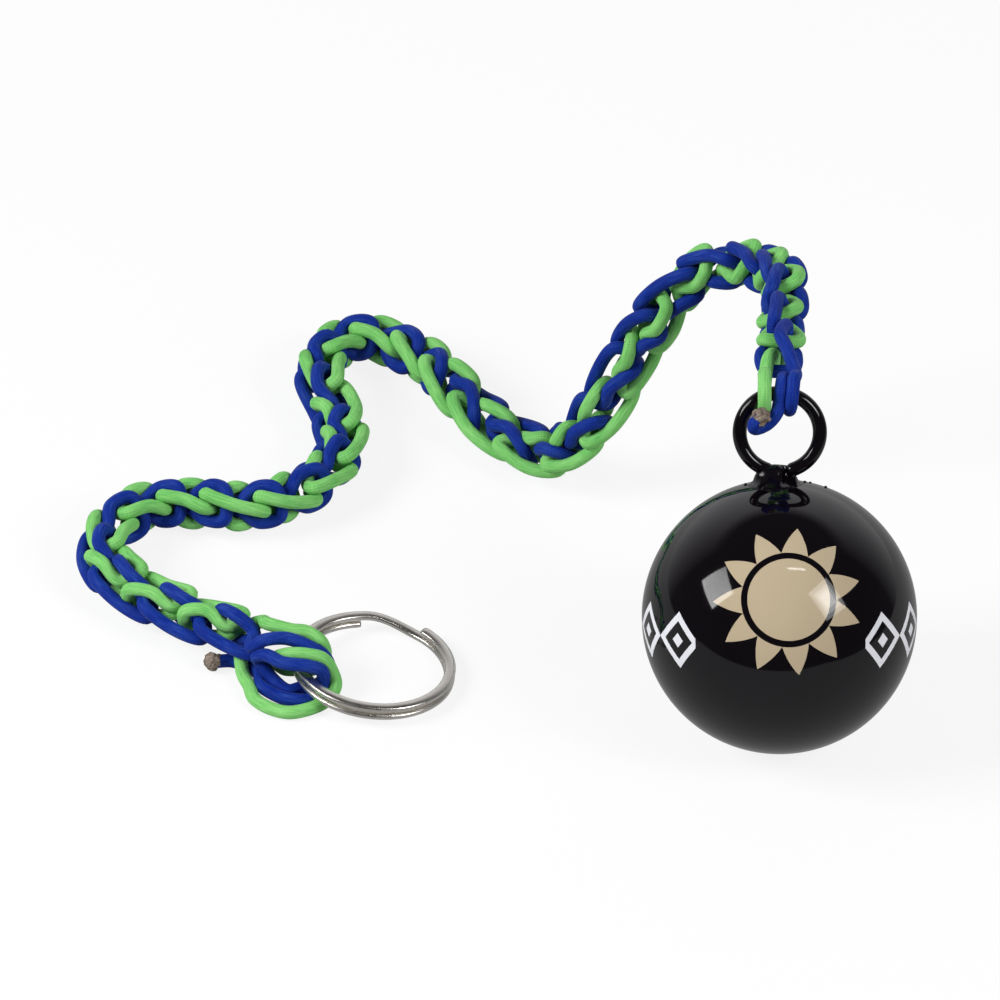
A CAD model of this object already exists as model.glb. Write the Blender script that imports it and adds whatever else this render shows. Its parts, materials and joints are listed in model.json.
import json
import math
import random

import bpy
import bmesh
import numpy as np
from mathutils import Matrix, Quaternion, Vector, noise
from mathutils.kdtree import KDTree


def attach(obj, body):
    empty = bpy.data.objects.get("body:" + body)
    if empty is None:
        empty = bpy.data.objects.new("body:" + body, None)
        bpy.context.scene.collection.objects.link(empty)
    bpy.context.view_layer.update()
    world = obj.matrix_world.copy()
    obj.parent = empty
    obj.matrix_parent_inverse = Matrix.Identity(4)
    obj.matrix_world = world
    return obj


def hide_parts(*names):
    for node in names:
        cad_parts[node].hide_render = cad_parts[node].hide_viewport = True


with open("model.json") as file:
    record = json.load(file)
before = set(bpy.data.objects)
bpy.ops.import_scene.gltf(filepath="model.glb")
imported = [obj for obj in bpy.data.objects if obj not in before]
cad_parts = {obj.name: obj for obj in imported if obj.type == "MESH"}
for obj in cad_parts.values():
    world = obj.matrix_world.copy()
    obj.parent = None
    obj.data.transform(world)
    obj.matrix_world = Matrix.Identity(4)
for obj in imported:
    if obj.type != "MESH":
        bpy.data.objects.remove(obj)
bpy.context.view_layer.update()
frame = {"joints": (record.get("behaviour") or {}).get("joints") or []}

# Sizes are in millimetres from the point where the ball stands on the table
MM = 0.001
ORIGIN = np.array([-31.95, 1.7, 0])
RIGHT = np.array([1.0, 0, 0])
BACK = np.array([0, 1.0, 0])
UP = np.array([0, 0, 1.0])
joints = {joint["name"]: joint for joint in frame["joints"]}


def to_row(points):
    """Points in millimetres from the ball's place, as metres in the row frame."""
    return (np.asarray(points, float) - ORIGIN) * MM


def unit(v):
    return v / np.linalg.norm(v)


# Camera: a long lens, level with the table's edge from left to right
ELEVATION = math.radians(38)
VIEW_WIDTH = 183.5
VIEW_MIDDLE = [-50.9, 41.4, 19.7]
CAMERA_DISTANCE = 5000
SENSOR = 36
TO_CAMERA = math.sin(ELEVATION) * UP - math.cos(ELEVATION) * BACK
VIEW_UP = math.cos(ELEVATION) * UP + math.sin(ELEVATION) * BACK

camera_data = bpy.data.cameras.new("camera")
camera_data.sensor_width = SENSOR
camera_data.lens = SENSOR * CAMERA_DISTANCE / VIEW_WIDTH
camera_data.clip_start = 0.05
camera_data.clip_end = 50
camera = bpy.data.objects.new("camera", camera_data)
bpy.context.collection.objects.link(camera)
camera.location = to_row(VIEW_MIDDLE + CAMERA_DISTANCE * TO_CAMERA)
camera.rotation_mode = "QUATERNION"
camera.rotation_quaternion = Vector(-TO_CAMERA).to_track_quat("-Z", "Y")
bpy.context.scene.camera = camera
bpy.context.scene.view_settings.view_transform = "Standard"


# Helpers for materials
def new_material(name):
    mat = bpy.data.materials.new(name)
    mat.use_nodes = True
    nodes = mat.node_tree.nodes
    return mat, nodes, mat.node_tree.links, nodes["Principled BSDF"]


def node(nodes, kind, **values):
    """A new shader node, with values set on its sockets or, failing that, on the node."""
    made = nodes.new(kind)
    for key, value in values.items():
        if key in made.inputs:
            made.inputs[key].default_value = value
        else:
            setattr(made, key, value)
    return made


def calculator(nodes, links):
    """A function that adds a math node: calc(operation, numbers or sockets...) gives its output."""
    def calc(operation, *values):
        made = node(nodes, "ShaderNodeMath", operation=operation)
        for slot, value in enumerate(values):
            if isinstance(value, (int, float)):
                made.inputs[slot].default_value = value
            else:
                links.new(value, made.inputs[slot])
        return made.outputs[0]
    return calc


def ramp(nodes, links, fac, stops):
    made = node(nodes, "ShaderNodeValToRGB")
    while len(made.color_ramp.elements) < len(stops):
        made.color_ramp.elements.new(0.5)
    for element, (place, colour) in zip(made.color_ramp.elements, stops):
        element.position = place
        element.color = (*colour, 1)
    links.new(fac, made.inputs[0])
    return made.outputs[0]


def object_noise(nodes, links, scale, detail, roughness):
    place = node(nodes, "ShaderNodeTexCoord")
    made = node(nodes, "ShaderNodeTexNoise", Scale=scale, Detail=detail, Roughness=roughness)
    links.new(place.outputs["Object"], made.inputs["Vector"])
    return made.outputs[0]


def add_bump(nodes, links, bsdf, height, strength, distance):
    bump = node(nodes, "ShaderNodeBump", Strength=strength, Distance=distance)
    links.new(height, bump.inputs["Height"])
    links.new(bump.outputs[0], bsdf.inputs["Normal"])


# Route of the lanyard from the split ring to the eye, one point a loop: place, then roll
FACING = np.array([0, -0.79, 0.61])
ROUTE = np.array([
    [-94.5, 16.8, 6.5, 130],
    [-104, 22.8, 6, 130],
    [-114, 28.9, 6, 120],
    [-122.3, 37.8, 6, 98],
    [-123.5, 47.5, 6, 40],
    [-117.6, 56.2, 6.2, 7],
    [-108.9, 58.2, 5.9, -4],
    [-100, 56.5, 6.5, -5],
    [-91.1, 58.6, 6.2, 13],
    [-84, 65.5, 6, 35],
    [-80.3, 74.3, 6, 48],
    [-80.8, 84, 5.9, 69],
    [-84.5, 95.6, 6.9, 60],
    [-81.9, 104.8, 6.4, 6],
    [-73.6, 107.5, 6.1, -9],
    [-65.3, 101.1, 6, 10],
    [-60.3, 94, 6.6, 35],
    [-53.2, 82.7, 5.7, 52],
    [-43.9, 72.5, 7, 65],
    [-38.1, 69, 11, 54],
    [-32.5, 69.6, 18.7, 64],
    [-26.8, 72.3, 29.4, 94],
    [-22.3, 73.3, 37, 117],
    [-15.3, 75.9, 45.3, 137],
    [-6.6, 73, 50, 147],
    [-1, 65.4, 54.6, 171],
    [1.1, 56.1, 58.3, 204],
    [0.7, 45.2, 59.7, 213],
    [0.3, 35.2, 61.6, 188],
    [0, 26.2, 62.6, 180],
])
LAST = len(ROUTE) - 1

# One loop of a cord: towards its own face, to the side, and along in half loops
LOOP = [
    [-3.3, -1.3, 0],
    [0.35, -1.1, 0.31],
    [0.45, -3.2, 0.98],
    [1.75, -2.5, 1.71],
    [1.75, 2.5, 1.71],
    [0.45, 3.2, 0.98],
    [0.35, 1.1, 0.31],
    [-3.3, 1.3, 0],
    [-4.05, 0, 1],
]
LOOP_WOBBLE = 0.32
CORD_D = 2.5
CORD_R = CORD_D / 2
EYE_TOP = np.array(joints["eye_swing"]["pos_m"]) / MM + ORIGIN
EYE_ROD_R = 1.3
EYE_BEND_R = 7.3
EYE_WRAP_GAP = 0.05
EYE_WRAP_R = EYE_ROD_R + CORD_R + EYE_WRAP_GAP
EYE_WRAP_HALF = 0.9
EYE_LEAN = 26


def curve(points, s):
    """Catmull-Rom curve through points, at the places s."""
    points = np.asarray(points, float)
    i = np.clip(np.floor(s).astype(int), 0, len(points) - 2)
    t = (s - i)[:, None]
    longer = np.vstack([2 * points[0] - points[1], points, 2 * points[-1] - points[-2]])
    a, b, c, d = longer[i], longer[i + 1], longer[i + 2], longer[i + 3]
    cubic = t ** 2 * (2 * a - 5 * b + 4 * c - d) + t ** 3 * (3 * b - a - 3 * c + d)
    return b + (t * (c - a) + cubic) / 2


def beside(s, x, y):
    """A point of the lanyard: s loops along the route, x towards its face and y to the side."""
    small = 0.02
    low, p, high = curve(ROUTE, np.array([s - small, s, s + small]))
    t = unit(high[:3] - low[:3])
    n = unit(FACING - (t @ FACING) * t)
    b = np.cross(t, n)
    roll = math.radians(p[3])
    face = math.cos(roll) * n + math.sin(roll) * b
    side = math.cos(roll) * b - math.sin(roll) * n
    return p[:3] + x * face + y * side


def chain(side, first, loops, seed):
    """The loops of one cord, each a little uneven."""
    draw = random.Random(seed)
    made = []
    for m in range(loops):
        for x, y, along in LOOP:
            dx = draw.uniform(-LOOP_WOBBLE, LOOP_WOBBLE)
            dy = draw.uniform(-LOOP_WOBBLE, LOOP_WOBBLE)
            made.append(beside(m + (along + first) / 2, side * x + dx, side * y + dy))
    return made


def at_eye(place, turn, r):
    """A point beside the eye's rod: place along it, turn round it in degrees, distance from it."""
    a = math.radians(turn)
    return EYE_TOP + place * RIGHT + r * (math.cos(a) * BACK + math.sin(a) * UP)


def wind(turns, places, steps):
    """A cord wound round the top of the eye's rod, which bends away to both sides."""
    made = []
    for f in np.linspace(0, 1, steps + 1):
        place = places[0] + f * (places[1] - places[0])
        bend = EYE_BEND_R - math.sqrt(EYE_BEND_R ** 2 - (abs(place) + EYE_WRAP_HALF) ** 2)
        made.append(at_eye(place, turns[0] + f * (turns[1] - turns[0]), EYE_WRAP_R + bend))
    return made


EYE_TIP = at_eye(-3.4, 188, 5.9)
RING_TIP = np.array([-103.4, 16, 2])
BLUE_KNOT = [
    RING_TIP,
    [-99.8, 16.9, 1.4],
    [-96.4, 14.9, 1.3],
    [-94.9, 12.4, 1.5],
    [-94.5, 9.2, 1.6],
    [-91, 6.2, 1.4],
    [-88, 5.4, 1.4],
    [-85.6, 5.6, 1.4],
    [-83.7, 7.2, 2.6],
    [-83.3, 7.4, 6.2],
    [-85.7, 7, 8],
    [-90.6, 7.8, 8.2],
    [-93.4, 10.2, 8],
    [-95.3, 11.9, 6.5],
    [-94.7, 12.3, 4.6],
    [-92.6, 10.4, 2.5],
    [-89.8, 8, 1.6],
    [-87.2, 8.8, 1.6],
    [-84.9, 9.4, 1.3],
    [-82.2, 11.2, 3.3],
    [-83, 11.4, 6.8],
    [-85.9, 11.9, 8.8],
    [-89.8, 12.9, 9.8],
    [-93.8, 12.3, 10],
]
GREEN_KNOT = [
    [-98.5, 16.5, 3.6],
    [-98, 12.5, 2],
    [-96.8, 9.6, 1.4],
    [-95.8, 5.8, 1.4],
    [-92.6, 2.8, 1.4],
    [-88.6, 1.8, 1.4],
    [-83.4, 4.4, 1.4],
    [-81.1, 7.3, 2.8],
    [-81.5, 8.8, 5],
    [-83.2, 9.3, 7.9],
    [-86.4, 9.5, 8.8],
    [-89.5, 9.9, 8.6],
    [-91.6, 11.8, 6.4],
    [-92, 13.2, 4.2],
    [-90.4, 14, 1.9],
    [-87.9, 14.3, 1.5],
    [-85, 14.4, 1.6],
    [-83, 14.5, 4.2],
    [-83.5, 13.6, 8.3],
    [-86.1, 14.8, 9.8],
    [-89.3, 15.3, 10],
    [-93.4, 17.2, 9.9],
    [-94.4, 21, 7.4],
]
BLUE_AT_EYE = [
    beside(LAST, -3.6, 1.2),
    *wind((50, 540), (2.8, -0.1), 11),
    at_eye(-0.6, 200, 4.3),
    at_eye(-2.2, 212, 5.9),
    at_eye(-4.3, 212, 6.9),
    at_eye(-4.8, 200, 6.9),
    EYE_TIP,
]
GREEN_AT_EYE = [
    beside(LAST - 0.5, 3.9, -1.2),
    beside(LAST - 0.36, -0.35, -1.15),
    beside(LAST - 0.05, -0.6, -2.2),
    *wind((-30, -335), (-2.8, -2.8), 7),
]
CORD_POINTS = {
    "blue": np.array(BLUE_KNOT + chain(1, 0, LAST, seed=3) + BLUE_AT_EYE),
    "green": np.array(GREEN_KNOT + chain(-1, 1, LAST - 1, seed=8) + GREEN_AT_EYE),
}

# The cords: tubes that flatten against each other where strands press together
SIDES = 18
STEP = 0.4
CUTS_A_POINT = 16
OWN_RUN = 4.5
LEAST_DISTANCE = 0.4
PRESS_GAP = 0.02
ROD_PLACES = 181
SWING_PLACES = 33
UV_LENGTH = 10


def even(points):
    """The curve through points, cut into even steps, and how far along it each one is."""
    fine = curve(points, np.linspace(0, len(points) - 1, (len(points) - 1) * CUTS_A_POINT + 1))
    run = np.concatenate([[0], np.cumsum(np.linalg.norm(np.diff(fine, axis=0), axis=1))])
    places = np.linspace(0, run[-1], int(run[-1] / STEP) + 1)
    return np.stack([np.interp(places, run, fine[:, k]) for k in range(3)], 1), places


def carry(path):
    """A pair of side vectors carried along a path without twist."""
    t = np.gradient(path, axis=0)
    t /= np.linalg.norm(t, axis=1)[:, None]
    n = np.zeros_like(t)
    v = np.cross(t[0], FACING)
    for i, way in enumerate(t):
        v = unit(v - way * (v @ way))
        n[i] = v
    return n, np.cross(t, n)


strands = {}
for name, points in CORD_POINTS.items():
    path, run = even(points)
    strands[name] = {"path": path, "run": run, "sides": carry(path)}

owner = [(name, i) for name, strand in strands.items() for i in range(len(strand["path"]))]
tree = KDTree(len(owner))
for index, (name, i) in enumerate(owner):
    tree.insert(strands[name]["path"][i], index)
tree.balance()


def rod_places():
    """Points along the middle of the eye's rod, all the way through its swing."""
    round_eye = np.linspace(0, 2 * math.pi, ROD_PLACES)[:, None]
    low, high = joints["eye_swing"]["range_deg"]
    made = []
    for swing in np.linspace(low, high, SWING_PLACES):
        a = math.radians(90 - EYE_LEAN + swing)
        axis = math.cos(a) * BACK + math.sin(a) * UP
        from_top = np.sin(round_eye) * RIGHT + (np.cos(round_eye) - 1) * axis
        made.append(EYE_TOP + EYE_BEND_R * from_top)
    return np.vstack(made)


rod = rod_places()
rod_tree = KDTree(len(rod))
for index, place in enumerate(rod):
    rod_tree.insert(place, index)
rod_tree.balance()


def pressed_rings(name):
    """Rings of points round a strand, cut back from close strands and from the eye's rod."""
    path = strands[name]["path"]
    n, b = strands[name]["sides"]
    angles = np.linspace(0, 2 * math.pi, SIDES, endpoint=False)[:, None]
    rings = np.zeros((len(path), SIDES, 3))
    for i, p in enumerate(path):
        ring = CORD_R * (np.cos(angles) * n[i] + np.sin(angles) * b[i])
        for q, index, distance in tree.find_range(p, CORD_D):
            other, j = owner[index]
            if distance < LEAST_DISTANCE or (other == name and abs(j - i) * STEP < OWN_RUN):
                continue
            way = (np.array(q) - p) / distance
            over = np.maximum(ring @ way - (distance / 2 - PRESS_GAP), 0)
            ring -= over[:, None] * way
        for q, _, distance in rod_tree.find_range(p, CORD_R + EYE_ROD_R):
            way = (np.array(q) - p) / distance
            over = np.maximum(ring @ way - (distance - EYE_ROD_R - PRESS_GAP), 0)
            ring -= over[:, None] * way
        rings[i] = p + ring
    return rings


def ring_faces(rings, sides):
    """Faces of a closed tube of rings of points."""
    faces = []
    for i in range(rings - 1):
        for j in range(sides):
            k = (j + 1) % sides
            faces.append((i * sides + j, i * sides + k, (i + 1) * sides + k, (i + 1) * sides + j))
    faces.append(tuple(range(sides - 1, -1, -1)))
    faces.append(tuple(range((rings - 1) * sides, rings * sides)))
    return faces


def add_mesh(name, points, faces, mat):
    """A smooth mesh object from points in millimetres."""
    mesh = bpy.data.meshes.new(name)
    mesh.from_pydata([tuple(p) for p in to_row(points)], [], faces)
    mesh.polygons.foreach_set("use_smooth", [True] * len(mesh.polygons))
    mesh.materials.append(mat)
    made = bpy.data.objects.new(name, mesh)
    bpy.context.collection.objects.link(made)
    return made


def add_tube(name, rings, mat):
    count, sides = rings.shape[:2]
    return add_mesh(name, rings.reshape(-1, 3), ring_faces(count, sides), mat)


def place_piece(piece, body, replaced):
    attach(piece, body)
    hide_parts(replaced)


def add_sleeve_uv(piece, run):
    """Texture places on a strand: once round it, and its run in centimetres."""
    layer = piece.data.uv_layers.new(name="sleeve")
    for face in piece.data.polygons:
        seam = any(piece.data.loops[i].vertex_index % SIDES == SIDES - 1 for i in face.loop_indices)
        for i in face.loop_indices:
            ring, side = divmod(piece.data.loops[i].vertex_index, SIDES)
            round_it = 1 if side == 0 and seam else side / SIDES
            layer.data[i].uv = (round_it, run[ring] / UV_LENGTH)


WEAVE_ROUND = 12
WEAVE_ALONG = 15
THREAD_STRETCH = (26, 3.2, 1)


def sleeve_material(name, deep, mid, light):
    """Woven sleeve: a fine crossed weave with threads that run along the cord."""
    mat, nodes, links, bsdf = new_material(name)
    calc = calculator(nodes, links)
    uv = node(nodes, "ShaderNodeUVMap", uv_map="sleeve")
    split = node(nodes, "ShaderNodeSeparateXYZ")
    links.new(uv.outputs[0], split.inputs[0])
    around = calc("MULTIPLY", split.outputs[0], WEAVE_ROUND * 2 * math.pi)
    along = calc("MULTIPLY", split.outputs[1], WEAVE_ALONG * 2 * math.pi)
    crossing = calc("MULTIPLY", calc("SINE", calc("ADD", around, along)),
                    calc("SINE", calc("SUBTRACT", around, along)))
    weave = calc("MULTIPLY_ADD", crossing, 0.5, 0.5)
    stretch = node(nodes, "ShaderNodeMapping", Scale=THREAD_STRETCH)
    links.new(uv.outputs[0], stretch.inputs["Vector"])
    threads = node(nodes, "ShaderNodeTexNoise", Scale=1.0, Detail=3.0, Roughness=0.6)
    links.new(stretch.outputs[0], threads.inputs["Vector"])
    patches = object_noise(nodes, links, scale=160, detail=2, roughness=0.5)
    tone = calc("MULTIPLY_ADD", weave, 0.12, calc("MULTIPLY", threads.outputs[0], 0.6))
    tone = calc("MULTIPLY_ADD", patches, 0.28, tone)
    colour = ramp(nodes, links, tone, [(0.3, deep), (0.5, mid), (0.72, light)])
    links.new(colour, bsdf.inputs["Base Color"])
    bsdf.inputs["Roughness"].default_value = 0.6
    bsdf.inputs["Sheen Weight"].default_value = 0.05
    bsdf.inputs["Sheen Roughness"].default_value = 0.4
    bsdf.inputs["Specular IOR Level"].default_value = 0.15
    height = calc("MULTIPLY_ADD", weave, 0.4, calc("MULTIPLY", threads.outputs[0], 1.4))
    add_bump(nodes, links, bsdf, height, strength=0.45, distance=0.0001)
    return mat


SLEEVES = {
    "blue": sleeve_material(
        "blue_woven",
        deep=(0.002, 0.013, 0.17), mid=(0.004, 0.029, 0.295), light=(0.036, 0.09, 0.375),
    ),
    "green": sleeve_material(
        "green_woven",
        deep=(0.085, 0.42, 0.085), mid=(0.225, 0.645, 0.17), light=(0.38, 0.78, 0.28),
    ),
}
for name, strand in strands.items():
    piece = add_tube(f"{name}_cord_sleeve", pressed_rings(name), SLEEVES[name])
    add_sleeve_uv(piece, strand["run"])
    place_piece(piece, "lanyard", f"{name}_cord")
    strand["piece"] = piece

# The ball: black lacquer with a plain printed pattern, a sun in front and a band of diamonds
BALL_R = 25.1
LEAN = math.radians(EYE_LEAN)
BALL_MID = BALL_R * UP
BALL_AXIS = math.sin(LEAN) * BACK + math.cos(LEAN) * UP
BALL_FRONT = np.cross(RIGHT, BALL_AXIS)
TAN = (0.56, 0.46, 0.31)
WHITE = (0.86, 0.87, 0.92)
BLACK = (0.0024, 0.0015, 0.0028)


def on_ball(points):
    """Points drawn upright on the ball's axis, with y to the back, where the ball lies."""
    points = np.asarray(points, float)
    return BALL_MID + points @ np.array([RIGHT, -BALL_FRONT, BALL_AXIS])


def component(nodes, links, vector, way):
    """The length of a vector socket along a fixed way."""
    made = node(nodes, "ShaderNodeVectorMath", operation="DOT_PRODUCT")
    links.new(vector, made.inputs[0])
    made.inputs[1].default_value = way
    return made.outputs["Value"]


def sun_mask(nodes, links, calc, way):
    """A disc with pointed rays round it, seen straight on."""
    to_right, upwards, nearer = 0.06, 0.13, 0.98
    middle = unit(to_right * RIGHT + upwards * VIEW_UP + nearer * TO_CAMERA)
    across = unit(np.cross(VIEW_UP, middle))
    x = component(nodes, links, way, across)
    y = component(nodes, links, way, np.cross(middle, across))
    r = calc("SQRT", calc("ADD", calc("MULTIPLY", x, x), calc("MULTIPLY", y, y)))
    rays, disc_r, ray_in, ray_out = 11, 0.30, 0.345, 0.54
    point = calc("PINGPONG", calc("MULTIPLY", calc("ARCTAN2", y, x), rays / (2 * math.pi)), 0.5)
    edge = calc("MULTIPLY_ADD", point, 2 * (ray_out - ray_in), ray_in)
    ray = calc("MULTIPLY", calc("GREATER_THAN", r, ray_in), calc("LESS_THAN", r, edge))
    shape = calc("MAXIMUM", calc("LESS_THAN", r, disc_r), ray)
    return calc("MULTIPLY", shape, calc("GREATER_THAN", component(nodes, links, way, middle), 0))


def diamond_mask(nodes, links, calc, way):
    """Outlined diamonds round the ball's middle, left out at the front."""
    count, height, drop, front_gap = 15, 0.21, 0.03, math.radians(38)
    outline, dot_size = 0.68, 0.26
    to_right = component(nodes, links, way, RIGHT)
    turn = calc("ARCTAN2", to_right, component(nodes, links, way, BALL_FRONT))
    x = calc("PINGPONG", calc("MULTIPLY", turn, count / (2 * math.pi)), 0.5)
    y = calc("ABSOLUTE", calc("ADD", component(nodes, links, way, BALL_AXIS), drop))
    reach = calc("MULTIPLY_ADD", x, 2, calc("DIVIDE", y, height))
    shape = calc("MULTIPLY", calc("LESS_THAN", reach, 1), calc("GREATER_THAN", reach, outline))
    dot = calc("LESS_THAN", reach, dot_size)
    return calc("MULTIPLY", calc("MAXIMUM", shape, dot),
                calc("GREATER_THAN", calc("ABSOLUTE", turn), front_gap))


def lacquer_material(name, scale, strength, roughness=0.035, printed=False):
    """Black lacquer with fine unevenness, and the pattern printed on it for the ball."""
    mat, nodes, links, bsdf = new_material(name)
    calc = calculator(nodes, links)
    specks = object_noise(nodes, links, scale, detail=3, roughness=0.55)
    colour = ramp(nodes, links, specks, [(0.3, BLACK), (0.8, tuple(1.6 * c for c in BLACK))])
    if printed:
        place = node(nodes, "ShaderNodeTexCoord")
        from_middle = node(nodes, "ShaderNodeVectorMath", operation="SUBTRACT")
        links.new(place.outputs["Object"], from_middle.inputs[0])
        from_middle.inputs[1].default_value = to_row(BALL_MID)
        way = node(nodes, "ShaderNodeVectorMath", operation="NORMALIZE")
        links.new(from_middle.outputs[0], way.inputs[0])
        for shape, ink in ((sun_mask, TAN), (diamond_mask, WHITE)):
            mix = node(nodes, "ShaderNodeMix", data_type="RGBA")
            links.new(shape(nodes, links, calc, way.outputs[0]), mix.inputs["Factor"])
            links.new(colour, mix.inputs["A"])
            mix.inputs["B"].default_value = (*ink, 1)
            colour = mix.outputs["Result"]
    links.new(colour, bsdf.inputs["Base Color"])
    links.new(calc("MULTIPLY_ADD", specks, 0.05, roughness), bsdf.inputs["Roughness"])
    add_bump(nodes, links, bsdf, specks, strength, distance=0.0002)
    return mat


def sphere_mesh(radius, subdivisions):
    """Points and faces of a round ball."""
    bm = bmesh.new()
    bmesh.ops.create_icosphere(bm, subdivisions=subdivisions, radius=radius)
    points = np.array([v.co[:] for v in bm.verts])
    faces = [tuple(v.index for v in face.verts) for face in bm.faces]
    bm.free()
    return points, faces


points, faces = sphere_mesh(BALL_R, subdivisions=6)
ball_lacquer = lacquer_material("ball_lacquer_black", scale=60, strength=0.02, printed=True)
ball = add_mesh("ball_shell", on_ball(points), faces, ball_lacquer)
place_piece(ball, "ball", "ball")

# The eye: a rod bent into a ring, its rounded ends side by side in the weld
EYE_REACH = float(np.linalg.norm(EYE_TOP - BALL_MID)) - EYE_BEND_R
EYE_SPLIT = math.radians(16)
EYE_STEPS = 180
EYE_SIDES = 28
END_STEPS = 6
END_FLAT = 0.03


def eye_rings():
    round_rod = np.linspace(0, 2 * math.pi, EYE_SIDES, endpoint=False)
    rings = []
    for i in range(EYE_STEPS + 1):
        a = -math.pi / 2 + EYE_SPLIT / 2 + i / EYE_STEPS * (2 * math.pi - EYE_SPLIT)
        out = math.cos(a) * RIGHT + math.sin(a) * UP
        past_end = max(0, 1 - min(i, EYE_STEPS - i) / END_STEPS)
        r = EYE_ROD_R * math.sqrt(max(1 - past_end ** 2, END_FLAT))
        section = [math.cos(w) * out + math.sin(w) * BACK for w in round_rod]
        rings.append(on_ball(EYE_REACH * UP + EYE_BEND_R * out + r * np.array(section)))
    return np.array(rings)


eye_lacquer = lacquer_material("eye_lacquer_black", scale=400, strength=0.1)
eye = add_tube("eye_rod", eye_rings(), eye_lacquer)
place_piece(eye, "ball", "eye_ring")

# The weld: a low foot on the ball and a waist round the rod's left end, thin behind its right one
WELD = [
    (5.1, -0.35, 1),
    (5.05, -0.05, 1),
    (4.8, 0.12, 1),
    (4.5, 0.26, 0.97),
    (4.2, 0.5, 0.9),
    (3.95, 0.9, 0.78),
    (3.75, 1.4, 0.66),
    (3.6, 1.9, 0.57),
    (3.4, 2.5, 0.5),
    (2.7, 2.95, 0.46),
    (1.4, 3.15, 0.45),
    (0.05, 3.2, 0.45),
]
SPATTER = [
    (-6.2, 1.2, 0.34),
    (4.6, 2.2, 0.3),
    (8.4, 2.6, 0.32),
    (-4.9, 2.4, 0.26),
    (5.6, 3, 0.26),
]
WELD_SHIFT = 0.8
WELD_THIN = 0.75
WELD_STEP = (0.2, 0.9)
WELD_STEP_HEIGHT = (0.3, 1)
WELD_SIDES = 72
WELD_WOBBLE = 0.14
WOBBLE_ACROSS = 1.1
WOBBLE_UP = 1.7


def weld_rings():
    """Rings from WELD: distance from the axis, height over the ball, and how deep for its width."""
    rings = []
    for r, height, depth in WELD:
        ring = []
        for a in np.linspace(0, 2 * math.pi, WELD_SIDES, endpoint=False):
            x = r * math.cos(a)
            y = depth * r * math.sin(a)
            place = Vector((WOBBLE_ACROSS * x, WOBBLE_ACROSS * y, WOBBLE_UP * height))
            wobble = WELD_WOBBLE * noise.noise(place) * min(1, r / 2)
            x = x * (1 + wobble / 4) - WELD_SHIFT
            if y < 0:
                past_step = np.interp(x, WELD_STEP, (0, 1))
                y *= 1 - WELD_THIN * past_step * np.interp(height, WELD_STEP_HEIGHT, (0, 1))
            ball_z = math.sqrt(BALL_R ** 2 - x * x - y * y)
            ring.append((x, y, ball_z + height + wobble))
        rings.append(on_ball(ring))
    return np.array(rings)


def weld_mesh():
    """The weld's bead, with drops of spatter beside it."""
    rings = weld_rings()
    points = [rings.reshape(-1, 3)]
    faces = ring_faces(*rings.shape[:2])
    count = len(points[0])
    for x, y, size in SPATTER:
        drop, drop_faces = sphere_mesh(size, subdivisions=2)
        points.append(on_ball(drop + [x, y, math.sqrt(BALL_R ** 2 - x * x - y * y)]))
        faces += [tuple(i + count for i in face) for face in drop_faces]
        count += len(drop)
    return np.vstack(points), faces


weld_lacquer = lacquer_material("weld_lacquer_black", scale=500, strength=0.2, roughness=0.11)
weld = add_mesh("eye_weld_bead", *weld_mesh(), weld_lacquer)
place_piece(weld, "ball", "eye_weld")

# The split ring: two turns of flattened wire that cross over at one place
WIRE_W = 2
WIRE_T = 1.2
TURN_GAP = 0.45
WIRE_BEND_R = 14
WIRE_STEPS = 420
WIRE_SIDES = 20
WIRE_SQUARE = 0.72
WIRE_END = 25
WIRE_END_SIZE = 0.86
WIRE_END_GROWS = 0.1
CROSS_HALF = 20
RING_CROSS = 75
RING_HOLD = 195
RING_GRIP = np.array(joints["ring_swing"]["pos_m"]) / MM + ORIGIN
RING_REST_Z = 1.525
RING_TILT = math.asin((RING_GRIP[2] - RING_REST_Z) / (2 * WIRE_BEND_R))


def ring_axes():
    """The ring's own axes: towards the held side, along the wire there, and square to the ring."""
    hold = math.radians(RING_HOLD)
    out = math.cos(hold) * RIGHT + math.sin(hold) * BACK
    x = math.cos(RING_TILT) * out + math.sin(RING_TILT) * UP
    y = np.cross(UP, out)
    return np.array([x, y, np.cross(x, y)])


def squared(v):
    """A sine or cosine pushed outwards, for a section between round and square."""
    return math.copysign(abs(v) ** WIRE_SQUARE, v)


def wire_rings():
    axes = ring_axes()
    middle = RING_GRIP - WIRE_BEND_R * axes[0]
    outline = []
    for w in np.linspace(0, 2 * math.pi, WIRE_SIDES, endpoint=False):
        outline.append((squared(math.cos(w)) * WIRE_W / 2, squared(math.sin(w)) * WIRE_T / 2))
    rings = []
    for i in range(WIRE_STEPS + 1):
        a = WIRE_END + i / WIRE_STEPS * (720 - 2 * WIRE_END)
        f = min(max((a - 360 + CROSS_HALF) / (2 * CROSS_HALF), 0), 1)
        height = (WIRE_T + TURN_GAP) * (f * f * (3 - 2 * f) - 0.5)
        turn = math.radians(a + RING_CROSS - RING_HOLD)
        size = min(1, WIRE_END_SIZE + WIRE_END_GROWS * min(i, WIRE_STEPS - i))
        ring = []
        for across, up in outline:
            r = WIRE_BEND_R + size * across
            ring.append((r * math.cos(turn), r * math.sin(turn), height + size * up))
        rings.append(middle + np.array(ring) @ axes)
    return np.array(rings)


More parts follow.
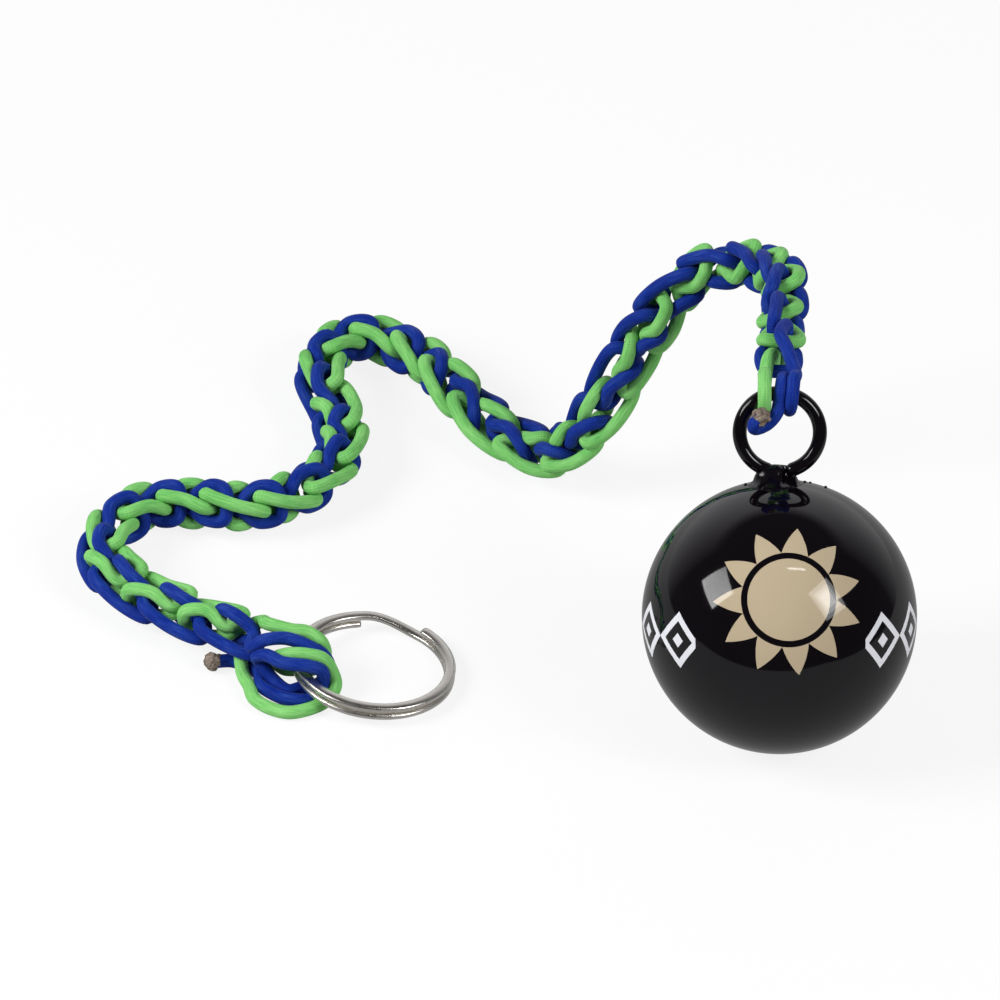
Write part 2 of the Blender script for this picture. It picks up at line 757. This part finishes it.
def nickel_material():
    mat, nodes, links, bsdf = new_material("nickel_plated")
    calc = calculator(nodes, links)
    grain = object_noise(nodes, links, scale=350, detail=3, roughness=0.5)
    colour = ramp(nodes, links, grain, [(0.25, (0.74, 0.71, 0.66)), (0.7, (0.90, 0.87, 0.82))])
    links.new(colour, bsdf.inputs["Base Color"])
    bsdf.inputs["Metallic"].default_value = 1.0
    links.new(calc("MULTIPLY_ADD", grain, 0.12, 0.22), bsdf.inputs["Roughness"])
    add_bump(nodes, links, bsdf, grain, strength=0.02, distance=0.0001)
    return mat


split_ring = add_tube("split_ring_wire", wire_rings(), nickel_material())
place_piece(split_ring, "key_ring", "split_ring")

# The burnt ends of the cords, melted into uneven lumps
MELT_R = 1.6
COARSE_SCALE = 0.9
COARSE_SHIFT = 0.37
COARSE_LUMPS = 0.3
FINE_SCALE = 2.6
FINE_LUMPS = 0.14


def burnt_material():
    mat, nodes, links, bsdf = new_material("burnt_cord_end")
    char = object_noise(nodes, links, scale=900, detail=4, roughness=0.6)
    colour = ramp(nodes, links, char, [
        (0.3, (0.05, 0.04, 0.035)), (0.5, (0.22, 0.17, 0.13)), (0.7, (0.36, 0.30, 0.24)),
    ])
    links.new(colour, bsdf.inputs["Base Color"])
    bsdf.inputs["Roughness"].default_value = 0.55
    add_bump(nodes, links, bsdf, char, strength=0.3, distance=0.0003)
    return mat


burnt = burnt_material()
for name, tip in (("eye_end", EYE_TIP), ("ring_end", RING_TIP)):
    points, faces = sphere_mesh(MELT_R, subdivisions=5)
    lumps = []
    for p in points:
        coarse = noise.noise(Vector(p * COARSE_SCALE + tip * COARSE_SHIFT))
        fine = noise.noise(Vector(p * FINE_SCALE + tip))
        lumps.append(1 + COARSE_LUMPS * coarse + FINE_LUMPS * fine)
    piece = add_mesh(f"{name}_burnt", tip + points * np.array(lumps)[:, None], faces, burnt)
    place_piece(piece, "lanyard", f"{name}_melt")

# The two free cords, with the burnt ends on the blue one
PATH_STRIDE = 3
for name, strand in strands.items():
    path = to_row(np.vstack([strand["path"][::PATH_STRIDE], strand["path"][-1:]]))

# Floor: white to the camera with a faint shadow, grey where the lacquer and the nickel mirror it
FLOOR = [(-420, -240), (190, -240), (340, 900), (-600, 900)]
FLOOR_WHITE = (0.99, 0.99, 0.99, 1)
FLOOR_GREY = (0.62, 0.61, 0.62, 1)
FLOOR_SHADE = 0.14
FLOOR_MIRRORED = [(0.08, (0.36, 0.36, 0.36)), (0.7, (0.68, 0.68, 0.68))]


def stage_floor():
    mat, nodes, links, bsdf = new_material("floor_white")
    bsdf.inputs["Base Color"].default_value = FLOOR_GREY
    bsdf.inputs["Roughness"].default_value = 0.9
    place = node(nodes, "ShaderNodeTexCoord")
    split = node(nodes, "ShaderNodeSeparateXYZ")
    links.new(place.outputs["Object"], split.inputs[0])
    mirrored = node(nodes, "ShaderNodeEmission", Strength=1.0)
    links.new(ramp(nodes, links, split.outputs[1], FLOOR_MIRRORED), mirrored.inputs["Color"])
    white = node(nodes, "ShaderNodeEmission", Color=FLOOR_WHITE, Strength=1.0)
    paper = node(nodes, "ShaderNodeBsdfDiffuse", Color=(1, 1, 1, 1))
    shaded = node(nodes, "ShaderNodeMixShader", Fac=FLOOR_SHADE)
    links.new(white.outputs[0], shaded.inputs[1])
    links.new(paper.outputs[0], shaded.inputs[2])
    path = node(nodes, "ShaderNodeLightPath")
    surface = bsdf.outputs[0]
    for seen_by, glow in (("Is Glossy Ray", mirrored), ("Is Camera Ray", shaded)):
        mix = node(nodes, "ShaderNodeMixShader")
        links.new(path.outputs[seen_by], mix.inputs[0])
        links.new(surface, mix.inputs[1])
        links.new(glow.outputs[0], mix.inputs[2])
        surface = mix.outputs[0]
    links.new(surface, nodes["Material Output"].inputs["Surface"])
    floor = add_mesh("floor", [(x, y, 0) for x, y in FLOOR] + ORIGIN, [(0, 1, 2, 3)], mat)


stage_floor()

# Room: a pale backdrop behind the floor, dark towards the camera
ROOM_TINT = (1.0, 0.98, 1.0, 1)
ROOM_LEVEL = 0.62
ROOM_LEAST = 0.06
ROOM_BEHIND = [(0.3, (0, 0, 0)), (0.85, (1, 1, 1))]
ROOM_LOW = [(0.58, (1, 1, 1)), (0.72, (0, 0, 0))]


def studio_world():
    world = bpy.data.worlds.new("studio")
    bpy.context.scene.world = world
    world.use_nodes = True
    nodes, links = world.node_tree.nodes, world.node_tree.links
    nodes.clear()
    calc = calculator(nodes, links)
    out = node(nodes, "ShaderNodeOutputWorld")
    path = node(nodes, "ShaderNodeLightPath")
    place = node(nodes, "ShaderNodeTexCoord")
    split = node(nodes, "ShaderNodeSeparateXYZ")
    links.new(place.outputs["Generated"], split.inputs[0])
    behind = ramp(nodes, links, split.outputs[1], ROOM_BEHIND)
    low = ramp(nodes, links, split.outputs[2], ROOM_LOW)
    backdrop = calc("MULTIPLY", behind, low)
    room = node(nodes, "ShaderNodeBackground", Color=ROOM_TINT)
    links.new(calc("MULTIPLY_ADD", backdrop, ROOM_LEVEL, ROOM_LEAST), room.inputs["Strength"])
    white = node(nodes, "ShaderNodeBackground", Color=FLOOR_WHITE, Strength=1.0)
    mix = node(nodes, "ShaderNodeMixShader")
    links.new(path.outputs["Is Camera Ray"], mix.inputs[0])
    links.new(room.outputs[0], mix.inputs[1])
    links.new(white.outputs[0], mix.inputs[2])
    links.new(mix.outputs[0], out.inputs[0])


studio_world()

# Lights: a softbox at each side, a faint strip, and two fills that shiny pieces don't mirror
LIT_PLACE = [0, 0, 30]
LEFT = (-0.784, -0.168, 0.597)
FRONT_RIGHT = (0.639, -0.436, 0.634)
OVERHEAD = (0.218, -0.187, 0.957)
RIGHT_LAYERS = [(0.38, 2.2), (0.28, 1.1), (0.18, 0.45)]
LAYER_TALL = 1.25
LAYER_GAP = 0.02
FILL_SIZE = 0.5


def softbox(name, way, width, height, power, roll=0, distance=1.0, mirrored=True):
    """A lamp of a size in metres, a way off from the ball, facing it and rolled by degrees."""
    data = bpy.data.lights.new(name, "AREA")
    data.energy = power
    data.shape = "RECTANGLE"
    data.size = width
    data.size_y = height
    made = bpy.data.objects.new(name, data)
    bpy.context.collection.objects.link(made)
    made.visible_glossy = mirrored
    way = Vector(way).normalized()
    made.location = Vector(to_row(LIT_PLACE)) + distance * way
    made.rotation_mode = "QUATERNION"
    turn = Quaternion(way, math.radians(roll))
    made.rotation_quaternion = turn @ (-way).to_track_quat("-Z", "Y")


softbox("softbox_left", LEFT, 0.44, 0.38, 4.6, roll=-12)
for layer, (width, power) in enumerate(RIGHT_LAYERS):
    softbox(
        f"softbox_right_{layer}", FRONT_RIGHT, width, LAYER_TALL * width, power,
        distance=1 + LAYER_GAP * layer,
    )
softbox("strip_top", OVERHEAD, 0.24, 0.03, 0.25, roll=-45)
softbox("fill_left", LEFT, FILL_SIZE, FILL_SIZE, 4.4, mirrored=False)
softbox("fill_right", FRONT_RIGHT, FILL_SIZE, FILL_SIZE, 2.6, mirrored=False)
